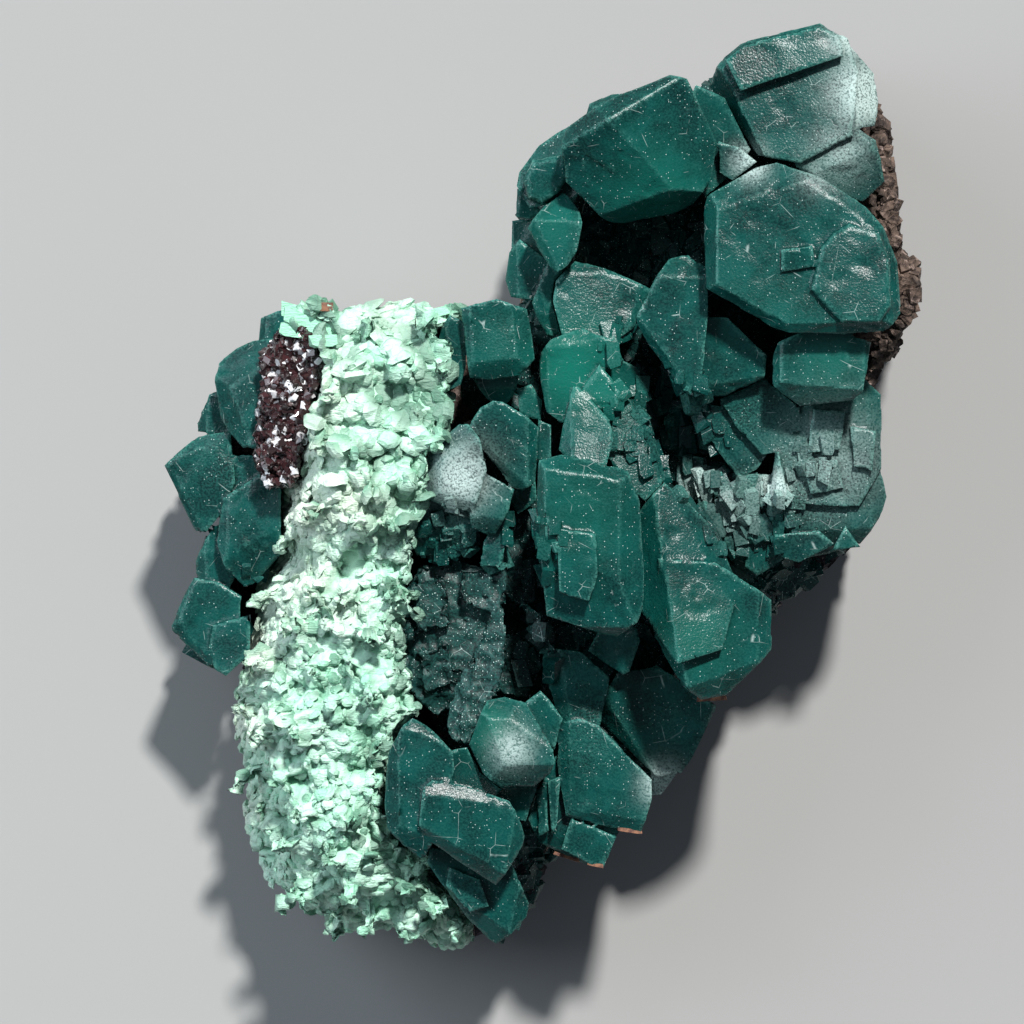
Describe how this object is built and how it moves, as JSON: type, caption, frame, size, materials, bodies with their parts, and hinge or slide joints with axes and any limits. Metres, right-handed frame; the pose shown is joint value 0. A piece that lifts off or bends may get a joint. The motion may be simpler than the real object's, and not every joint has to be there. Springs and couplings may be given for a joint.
{
  "type": "apophyllite mineral specimen",
  "caption": "Cluster of blocky deep-green apophyllite crystals with a pale mint stilbite crust on dark host rock, lying on its flat-cut back.",
  "frame": {"origin": "centre of the bounding box on the plane of the cut back, where the specimen lies", "axes": "+Z away from the cut back, through the crystals towards the viewer; +Y along the specimen's length, towards the tall crystal at its top; +X to the right as the crystals are looked at from above"},
  "size_m": [0.1196, 0.147, 0.0598],
  "materials": {
    "apophyllite": "deep green translucent crystal with glassy faces, pale worn edges, white pits and hairline cracks",
    "dark_apophyllite": "rough, nearly black-green crystal with a sugary surface and small glints",
    "stilbite": "silky mint-green overlapping scales, cream in places, pale at the left edge",
    "red_druse": "tiny dark red-brown glassy crystals that sparkle",
    "host_rock": "matt granular brown rock with pale flecks and dark pits"
  },
  "bodies": {
    "root": {"tower_crystals": "apophyllite", "great_crystals": "apophyllite", "shoulder_crystals": "apophyllite", "crown_crystals": "apophyllite", "centre_crystals": "apophyllite", "corner_crystals": "apophyllite", "ridge_crystals": "apophyllite", "flank_crystals": "apophyllite", "dark_block": "dark_apophyllite", "lower_crystals": "apophyllite", "foot_crystals": "apophyllite", "left_crystals": "apophyllite", "dark_druse": "red_druse", "stilbite_crust": "stilbite", "rock_matrix": "host_rock"}
  },
  "joints": []
}
